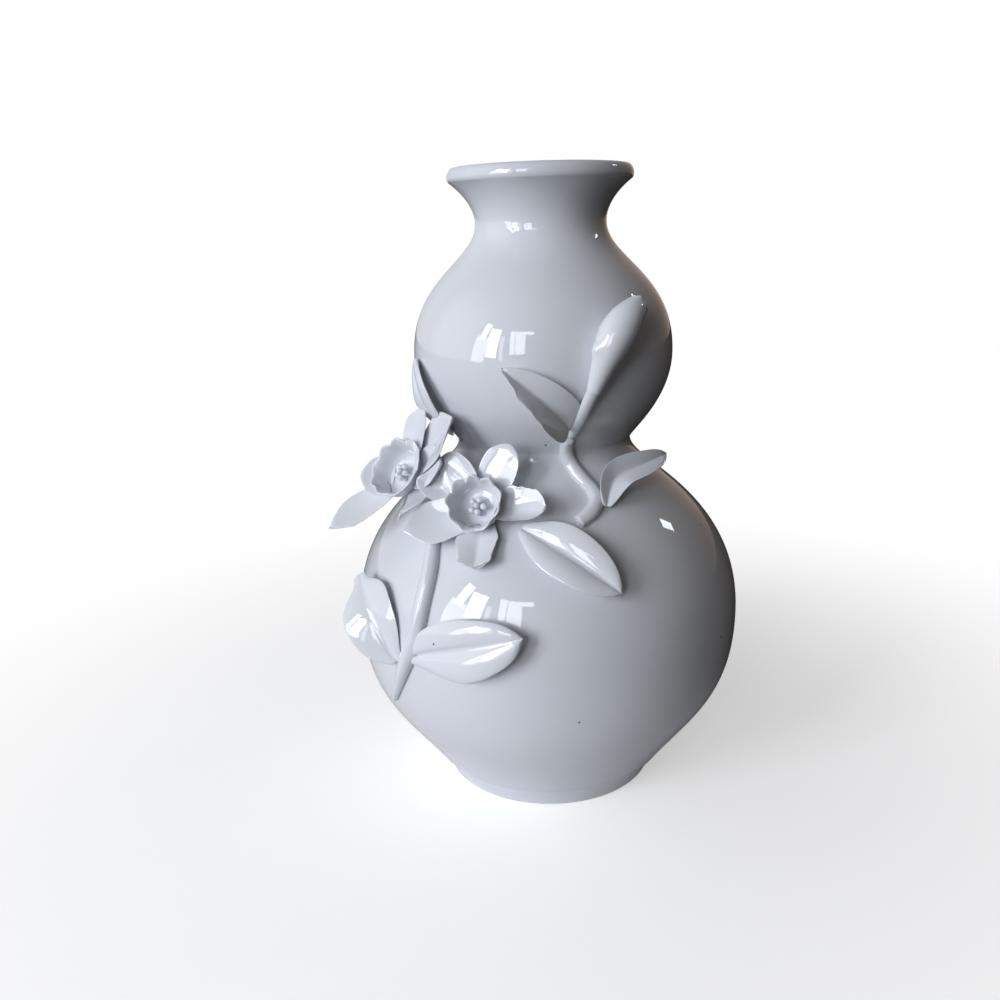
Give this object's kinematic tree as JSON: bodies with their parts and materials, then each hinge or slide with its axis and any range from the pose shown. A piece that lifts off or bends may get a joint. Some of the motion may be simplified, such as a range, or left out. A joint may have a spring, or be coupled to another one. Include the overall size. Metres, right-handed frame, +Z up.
{
  "type": "vase",
  "caption": "Double gourd vase in white glazed porcelain: narrow waist, flared lip, foot ring, with hand-modelled daffodils, bud, leaves and stems applied to the front",
  "frame": {"origin": "middle of the standing face of the foot ring, on the vessel's axis", "axes": "+Z up along the vessel's axis, -Y towards the front with the applied flowers, +X to the viewer's right"},
  "size_m": [0.1324, 0.1338, 0.2],
  "materials": {
    "porcelain": "clear gloss glaze over white porcelain, faintly blue-grey"
  },
  "bodies": {
    "root": {"lower_bulb": "porcelain", "upper_bulb": "porcelain", "main_stem": "porcelain", "curved_stem": "porcelain", "bud_stem": "porcelain", "bud": "porcelain", "right_leaf": "porcelain", "left_leaf": "porcelain", "lower_leaf": "porcelain", "upper_leaf": "porcelain", "shoulder_leaf": "porcelain", "back_leaf": "porcelain", "front_cup": "porcelain", "front_pistil": "porcelain", "front_stamens": "porcelain", "front_petal_1": "porcelain", "front_petal_2": "porcelain", "front_petal_3": "porcelain", "front_petal_4": "porcelain", "front_petal_5": "porcelain", "front_petal_6": "porcelain", "side_cup": "porcelain", "side_pistil": "porcelain", "side_stamens": "porcelain", "side_petal_1": "porcelain", "side_petal_2": "porcelain", "side_petal_3": "porcelain", "side_petal_4": "porcelain", "side_petal_5": "porcelain", "side_petal_6": "porcelain"}
  },
  "joints": []
}
